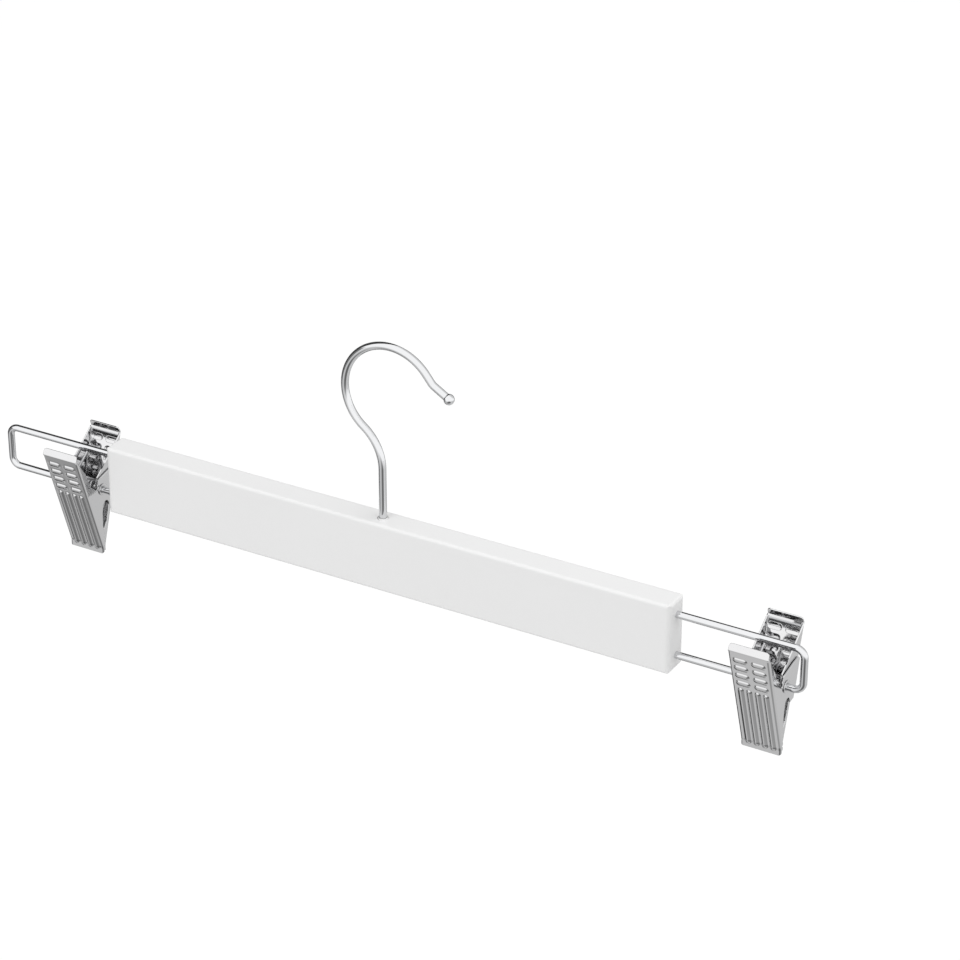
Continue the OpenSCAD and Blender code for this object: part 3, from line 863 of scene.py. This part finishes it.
def steel(shader, hue, rough):
    """Plain plated steel with fine drawing or turning marks."""
    cloud = shader.noise(scale=300, detail=3.0)
    marks = shader.noise(scale=3000, detail=2.0)
    low, high = shaded(hue, amount=0.15)
    shader.surface({
        "Base Color": shader.tint(cloud, low, high), "Metallic": 1.0,
        "Roughness": rough + marks * 0.1,
        "Normal": shader.bump(marks, strength=0.05, distance=MARK_DEPTH)})


def rubber(shader, finish):
    """Matt black rubber with a fine moulded grain."""
    fine = shader.noise(scale=2500, detail=2.0)
    low, high = shaded(finish.rubber, amount=0.3)
    shader.surface({
        "Base Color": shader.tint(fine, low, high),
        "Roughness": finish.rubber_rough + fine * 0.1,
        "Normal": shader.bump(fine, strength=0.3, distance=PEEL_DEPTH)})


def seen(shader, *rays):
    """1 for rays of these kinds, and otherwise 0."""
    path = shader.add("ShaderNodeLightPath", {}, {})
    found = [Socket(shader, path.outputs[f"Is {name} Ray"]) for name in rays]
    level = found[0]
    for other in found[1:]:
        level = level.combine("MAXIMUM", level, other)
    return level


def floor_finish(shader, stage):
    """A pale floor that takes the shadow, and looks white from the camera."""
    matt = shader.value("ShaderNodeBsdfDiffuse", {}, {"Color": (*stage.floor_colour, 1)})
    glow = shader.value("ShaderNodeEmission", {},
                        {"Color": (1, 1, 1, 1), "Strength": stage.glow})
    shown = seen(shader, "Camera", "Transmission") * stage.floor_white
    both = shader.value("ShaderNodeMixShader", {}, {0: shown, 1: matt, 2: glow})
    shader.tree.links.new(both.socket, shader.output.inputs["Surface"])


def surround(shader, stage):
    """The studio round the hanger. The camera sees it white and matt surfaces are lit by
    it evenly. Metal shows its white upper half, its grey lower half and its dark flags."""
    way = shader.value("ShaderNodeTexCoord", {}, {}, "Generated")
    parts = shader.add("ShaderNodeSeparateXYZ", {}, {"Vector": way})
    rise = Socket(shader, parts.outputs["Z"])
    level = stage.ground + rise.between(*stage.horizon) * (stage.sky - stage.ground)
    for toward, core, edge, dark in FLAGS:
        near = shader.value("ShaderNodeVectorMath", {"operation": "DOT_PRODUCT"},
                            {0: way, 1: Vector(toward).normalized()}, "Value")
        flag = near.between(math.cos(math.radians(edge)), math.cos(math.radians(core)))
        level = level * (1 - flag * dark)
    metal = seen(shader, "Glossy")
    lit = metal * level + (1 - metal) * stage.surround
    shown = seen(shader, "Camera", "Transmission")
    strength = shown + (1 - shown) * lit
    sky = shader.value("ShaderNodeBackground", {},
                       {"Color": (1, 1, 1, 1), "Strength": strength})
    shader.tree.links.new(sky.socket, shader.output.inputs["Surface"])


def dress(piece, finish, body, slot, *nodes):
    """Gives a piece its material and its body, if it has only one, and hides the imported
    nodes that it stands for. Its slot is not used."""
    piece.data.materials.append(finish)
    if body:
        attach(piece, body)
    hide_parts(*nodes)


def pivot_of(side):
    """Middle of a clip's pivot tube."""
    low, high = node_box(f"{side}_pivot_tube")
    return (low + high) / 2


def set_on_clip(side, end, kind, shape, look, slot, node):
    """Sets a piece, given about its pivot as the front one, on a clip's front or rear."""
    shell, faces, normals = shape
    flip = np.array([1, 1 if end == "front" else -1, 1])
    piece = make_piece(f"{side}_{end}_{kind}", shell * flip + pivot_of(side), faces,
                       normals * flip)
    dress(piece, look, f"{side}_{end}", slot, f"{side}_{end}_{node}")


# Operators

class HANGER_OT_bar(Operator):
    """Give the wooden bar its lacquer"""
    bl_idname = "hanger.bar"
    bl_label = "Bar"

    def execute(self, context):
        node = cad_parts["bar"]
        node.data.materials.clear()
        finish = context.scene.hanger.finish
        node.data.materials.append(material("white_lacquer", lacquer, finish))
        return {"FINISHED"}


class HANGER_OT_hook(Operator):
    """Make the hook with its ball tip and the head that holds its stem"""
    bl_idname = "hanger.hook"
    bl_label = "Hook"

    # Rings along the wire and over the ball, and corners round the wire
    wire_rings, ball_rings, corners = 330, 20, 40
    # Angle from the ball's end to its last ring
    ball_end = 0.03

    def execute(self, context):
        settings = context.scene.hanger
        size = settings.hook
        low, high = node_box("hook")
        wire_r, ball_r, head_r = size.wire / 2, size.ball / 2, high[1]
        crown_z = high[2] - size.crown_r - wire_r
        stem_top = crown_z - (size.back_bend_r + size.crown_r) * math.sin(size.back_bend)
        head_top = low[2] + size.head
        path = WirePath((0.0, head_top), math.pi / 2, [
            (stem_top - head_top, 0.0),
            (size.back_bend_r * size.back_bend, size.back_bend),
            (size.crown_r * size.crown, -size.crown),
            (size.nose_run, 0.0),
            (size.nose_bend_r * size.nose_bend, size.nose_bend),
            (size.tip_run, 0.0)])
        meet = math.asin(wire_r / ball_r)
        ball = np.linspace(meet, np.pi - self.ball_end, self.ball_rings)
        tip = np.stack([path.length - ball_r * np.cos(ball), ball_r * np.sin(ball)], axis=-1)
        head = np.array([[-size.head, HAIR], [-size.head, head_r], [0, head_r],
                         [0, wire_r], [2 * size.head, wire_r]])
        head = rounded(head, size.head_edge_r)
        wire = np.linspace(3 * size.head, tip[0, 0] - 2 * HAIR, self.wire_rings)
        s = np.concatenate([head[:, 0], wire, tip[:, 0]])
        radii = np.concatenate([head[:, 1], np.full(len(wire), wire_r), tip[:, 1]])
        piece = make_piece("wire_hook", *swept(*path.at(s), ACROSS, radii, self.corners))
        dress(piece, material("bright_chrome", chrome, settings.finish), "hook",
              "hook_chrome", "hook")
        return {"FINISHED"}


class HANGER_OT_swivel(Operator):
    """Make the bush that the stem turns in and the washer under it"""
    bl_idname = "hanger.swivel"
    bl_label = "Bush and washer"

    def execute(self, context):
        settings = context.scene.hanger
        size, finish = settings.hook, settings.finish
        hole = size.wire / 2 + size.swivel_fit
        look = material("satin_steel", steel, finish.bush, finish.bush_rough)
        bar_top = node_box("bar")[1][2]
        for part in ("bush", "washer"):
            low, high = node_box(f"hook_{part}")
            z0, z1, r = low[2], high[2], high[0]
            upper = [(z1, r)]
            if z1 > bar_top:
                # What stands out of the bar is a rim of half the wall
                rim = (hole + r) / 2
                upper = [(z1, rim), (bar_top, rim), (bar_top, r)]
            profile = closed_profile([(z0, hole), (z1, hole), *upper, (z0, r)],
                                     size.bush_edge_r)
            piece = make_piece(f"swivel_{part}", *turned(profile, "Z"))
            dress(piece, look, "bar", "bush_steel", f"hook_{part}")
        return {"FINISHED"}


class HANGER_OT_loops(Operator):
    """Make the wire loop at each end of the bar"""
    bl_idname = "hanger.loops"
    bl_label = "Wire loops"

    # Rings along a loop, and corners round its wire
    rings, corners = 260, 36

    def execute(self, context):
        settings = context.scene.hanger
        look = material("bright_chrome", chrome, settings.finish)
        for side in SIDES:
            low, high = node_box(f"{side}_loop")
            wire_r, bend_r = high[1], settings.loop.corner_r
            inner, tip = np.sort(np.abs([low[0], high[0]])) + [0, -wire_r]
            bottom, top = low[2] + wire_r, high[2] - wire_r
            run, rise = tip - bend_r - inner, top - bottom - 2 * bend_r
            corner = (bend_r * np.pi / 2, -np.pi / 2)
            path = WirePath((inner, top), 0.0,
                            [(run, 0.0), corner, (rise, 0.0), corner, (run, 0.0)])
            s = np.linspace(0.0, path.length, self.rings)
            shell, faces = swept(*path.at(s), ACROSS, wire_r, self.corners)
            if side == "left":
                shell = shell * [-1, 1, 1]
            piece = make_piece(f"{side}_wire_loop", shell, faces)
            dress(piece, look, "bar", "loop_chrome", f"{side}_loop")
        return {"FINISHED"}


class HANGER_OT_tubes(Operator):
    """Make the pivot tubes with their turned-over ends"""
    bl_idname = "hanger.tubes"
    bl_label = "Pivot tubes"

    def execute(self, context):
        settings = context.scene.hanger
        clip, finish = settings.clip, settings.finish
        look = material("turned_steel", steel, finish.turned, finish.turned_rough)
        for side in SIDES:
            low, high = node_box(f"{side}_pivot_tube")
            half, collar = (high[0] - low[0]) / 2, high[1]
            outer = collar - clip.collar_w
            bore = outer - clip.tube_wall
            profile = closed_profile([
                (-half, bore), (half, bore), (half, collar), (half - clip.collar_t, collar),
                (half - clip.collar_t, outer), (clip.collar_t - half, outer),
                (clip.collar_t - half, collar), (-half, collar)], clip.tube_edge_r)
            shell, faces = turned(profile, "X")
            piece = make_piece(f"{side}_turned_tube", shell + pivot_of(side), faces)
            dress(piece, look, f"{side}_slider", "tube_steel", f"{side}_pivot_tube")
        return {"FINISHED"}


class HANGER_OT_jaws(Operator):
    """Fold the front and rear jaws out of sheet with their pressed pattern"""
    bl_idname = "hanger.jaws"
    bl_label = "Pressed jaws"

    # Points on the arch of a front cheek and on a pivot hole
    arch_points, hole_points = 11, 48
    # Room that the plate's points keep from its outline, as a share of the mesh step
    margin_share = 0.5

    def cheek(self, jaw, end):
        """Inner outline of a jaw's cheek in the side view."""
        if end == "rear":
            return jaw.shares(REAR_CHEEK_SHARES)
        arch = (jaw.shares([ARCH_MID_SHARES]) + jaw.spread * ARCH_R_SHARE
                * facing(np.linspace(0.0, np.pi, self.arch_points)))
        return np.concatenate([jaw.shares(FRONT_CHEEK_SHARES), arch,
                               jaw.shares(ARCH_FOOT_SHARES)])

    def execute(self, context):
        settings = context.scene.hanger
        clip = settings.clip
        look = material("plated_sheet", plating, settings.finish)
        hole_r = node_box("left_loop")[1][1] + clip.tube_wall + 2 * clip.pivot_fit
        angles = np.linspace(0.0, 2 * np.pi, self.hole_points, endpoint=False)
        for end in ("front", "rear"):
            jaw = FoldedJaw(settings, f"left_{end}_jaw", pivot_of("left"))
            hole = jaw.unfold(hole_r * facing(angles))
            loops = [jaw.outline(self.cheek(jaw, end)), hole, hole * [-1, 1]]

            def place(across, down, off):
                """The folded sheet, raised by the pressed pattern."""
                return jaw.fold(across, down, off + jaw.pressed(across, down))

            shape = sheet_shape(end, loops, jaw.grid(), place, clip.sheet, clip.edge_r,
                                clip.step * self.margin_share)
            for side in SIDES:
                set_on_clip(side, end, "pressing", shape, look, "jaw_plate", "jaw")
        return {"FINISHED"}


class HANGER_OT_pads(Operator):
    """Make the grooved grip pads inside the jaws"""
    bl_idname = "hanger.pads"
    bl_label = "Grip pads"

    # Columns and rows of a pad's points, and the room that they keep from its outline, as
    # a share of the mesh step
    columns, rows, margin_share = 40, 60, 0.4
    # Power that narrows the grooves' wave
    narrow = 4

    def execute(self, context):
        settings = context.scene.hanger
        clip = settings.clip
        look = material("black_rubber", rubber, settings.finish)
        pivot = pivot_of("left")
        jaw = FoldedJaw(settings, "left_rear_jaw", pivot, side_bends=False)
        low, high = node_box("left_rear_pad")
        half_w = (high[0] - low[0]) / 2
        bottom = jaw.end - (low[2] - (pivot[2] - jaw.drop))
        top = bottom - clip.pad_h
        corners = np.array([[0, top], [half_w, top], [half_w, bottom], [0, bottom]])
        outline = mirrored(resampled(rounded(corners, clip.pad_corner_r), clip.step))
        grid = crossings(np.linspace(-half_w, half_w, self.columns),
                         np.linspace(top, bottom, self.rows))
        middle = -(clip.sheet + clip.pad) / 2

        def place(across, down, off):
            """The folded pad, grooved by a narrowed wave that fades to nothing at the outer
            face."""
            wave = (1 - np.cos((down - top) / clip.pad_h * clip.grooves * 2 * np.pi)) / 2
            deep = clip.groove * wave ** self.narrow * (clip.pad / 2 - off) / clip.pad
            return jaw.fold(across, down, middle + off + deep)

        shape = sheet_shape("pad", [outline], grid, place, clip.pad, clip.pad_edge_r,
                            clip.step * self.margin_share)
        for side in SIDES:
            for end in ("front", "rear"):
                set_on_clip(side, end, "grip_pad", shape, look, "grip_rubber", "pad")
        return {"FINISHED"}


class HANGER_OT_springs(Operator):
    """Wind the torsion springs round the pivot tubes"""
    bl_idname = "hanger.springs"
    bl_label = "Springs"

    # Points on each turn of the coil, on a leg's rise and on its bend, and corners round
    # the wire
    turn_points, rise_points, bend_points, corners = 28, 8, 10, 16
    # Room left at each end of the coil, in wire radii
    end_room = 1.2

    def leg(self, settings, jaw, coil_r):
        """A leg in the side view, on the minus side, from the coil out to its foot, and
        the angle at which it leaves the coil."""
        spring, clip = settings.spring, settings.clip
        z = clip.rise * spring.leg_share
        into = facing(jaw.slant)
        y = jaw.top[0] + (jaw.top[1] - z) * math.tan(jaw.slant)
        face = np.array([y + jaw.half / math.cos(jaw.slant), z])
        foot = face + clip.play * into
        knee = foot + (spring.foot + spring.foot_turn_r) * into
        leave = math.atan2(knee[1], knee[0]) - math.acos(coil_r / np.linalg.norm(knee))
        start = coil_r * facing(leave)
        before = knee + spring.foot_turn_r * unit(start - knee)
        after = knee + spring.foot_turn_r * unit(foot - knee)
        up = np.linspace(0.0, 1.0, self.rise_points, endpoint=False)[1:, None]
        return np.concatenate([start + up * (before - start),
                               bend(before, knee, after, self.bend_points), [foot]]), leave

    def execute(self, context):
        settings = context.scene.hanger
        spring, clip, finish = settings.spring, settings.clip, settings.finish
        look = material("spring_steel", steel, finish.spring, finish.spring_rough)
        wire_r = spring.wire / 2
        for side in SIDES:
            pivot = pivot_of(side)
            jaw = FoldedJaw(settings, f"{side}_front_jaw", pivot)
            tube_r = node_box(f"{side}_pivot_tube")[1][1] - clip.collar_w
            coil_r = tube_r + clip.play + wire_r
            leg, leave = self.leg(settings, jaw, coil_r)
            first = np.pi - leave
            total = leave + 2 * np.pi * spring.turns - first
            half = spring.pitch * total / (4 * np.pi)
            steps = int(total / (2 * np.pi) * self.turn_points)
            share = np.linspace(0.0, 1.0, steps + 1)
            coil = np.column_stack([half * (2 * share - 1),
                                    coil_r * facing(first + total * share)])
            rear = np.column_stack([np.full(len(leg), -half), leg * [-1, 1]])[::-1]
            front = np.column_stack([np.full(len(leg), half), leg])
            line = np.concatenate([rear, coil, front])
            ways = unit(np.gradient(line, axis=0))
            shell, faces = swept(line, ways, (1.0, 0.0, 0.0), wire_r, self.corners)
            piece = make_piece(f"{side}_torsion_spring", shell + pivot, faces)
            dress(piece, look, None, "spring_steel", f"{side}_spring")
            reach = np.array([half - self.end_room * wire_r, 0, 0])
            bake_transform(piece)
        return {"FINISHED"}


class HANGER_OT_stage(Operator):
    """Set up the pale floor, the surround, the lamps and the camera"""
    bl_idname = "hanger.stage"
    bl_label = "Stage"

    # Where the camera stands and what it looks at, and its lens and sensor in millimetres
    camera_at = (0.5897, -0.9418, 0.5292)
    camera_to = (0.04239, 0.0, -0.04317)
    camera_lens, camera_sensor = 125.13, 36.0
    # Each lamp's place, size and power
    lamps = {
        "key_lamp": ((-0.6, -1.6, 1.5), 1.6, 10.5),
        "top_lamp": ((1.0, 0.1, 1.75), 1.6, 11.5),
    }

    def aim(self, scene, name, data, place, toward):
        """Puts a lamp or camera at a place, looking towards another."""
        shown = bpy.data.objects.new(name, data)
        shown.location = place
        shown.rotation_mode = "QUATERNION"
        way = Vector(toward) - Vector(place)
        shown.rotation_quaternion = way.to_track_quat("-Z", "Y")
        scene.collection.objects.link(shown)
        return shown

    def execute(self, context):
        scene = context.scene
        stage = scene.hanger.stage
        scene.view_settings.view_transform = "Standard"
        half = stage.floor_size / 2
        z = CAD_BOX[0].z - stage.floor_drop
        mesh = bpy.data.meshes.new("floor")
        mesh.from_pydata([(-half, -half, z), (half, -half, z), (half, half, z),
                          (-half, half, z)], [], [(0, 1, 2, 3)])
        floor = bpy.data.objects.new("floor", mesh)
        floor.data.materials.append(material("pale_floor", floor_finish, stage))
        scene.collection.objects.link(floor)
        floor.visible_glossy = False
        scene.world = scene.world or bpy.data.worlds.new("surround")
        scene.world.use_nodes = True
        surround(Shader(scene.world.node_tree, "ShaderNodeOutputWorld"), stage)
        for name, (place, size, power) in self.lamps.items():
            lamp = bpy.data.lights.new(name, "AREA")
            lamp.size, lamp.energy = size, power
            self.aim(scene, name, lamp, place, (0.0, 0.0, 0.0)).visible_glossy = False
        camera = bpy.data.cameras.new("camera")
        camera.lens, camera.sensor_width = self.camera_lens, self.camera_sensor
        scene.camera = self.aim(scene, "camera", camera, self.camera_at, self.camera_to)
        return {"FINISHED"}


class HANGER_PT_panel(Panel):
    """Lists the hanger's steps in the sidebar"""
    bl_label = "Skirt hanger"
    bl_space_type = "VIEW_3D"
    bl_region_type = "UI"
    bl_category = "Hanger"

    def draw(self, context):
        for step in STEPS:
            self.layout.operator(step.bl_idname)


STEPS = (HANGER_OT_stage, HANGER_OT_bar, HANGER_OT_hook, HANGER_OT_swivel, HANGER_OT_loops,
         HANGER_OT_tubes, HANGER_OT_jaws, HANGER_OT_pads, HANGER_OT_springs)
CLASSES = (HookSizes, LoopSizes, ClipSizes, PatternSizes, SpringSizes, Finishes, StageSizes,
           HangerSettings, *STEPS, HANGER_PT_panel)


def register():
    """Registers the classes and the scene's settings."""
    for each in CLASSES:
        bpy.utils.register_class(each)
    bpy.types.Scene.hanger = PointerProperty(type=HangerSettings)


def unregister():
    """Takes them away again."""
    del bpy.types.Scene.hanger
    for each in reversed(CLASSES):
        bpy.utils.unregister_class(each)


def main():
    """Makes the hanger step by step."""
    register()
    for step in STEPS:
        group, name = step.bl_idname.split(".")
        getattr(getattr(bpy.ops, group), name)()


if __name__ == "__main__":
    main()
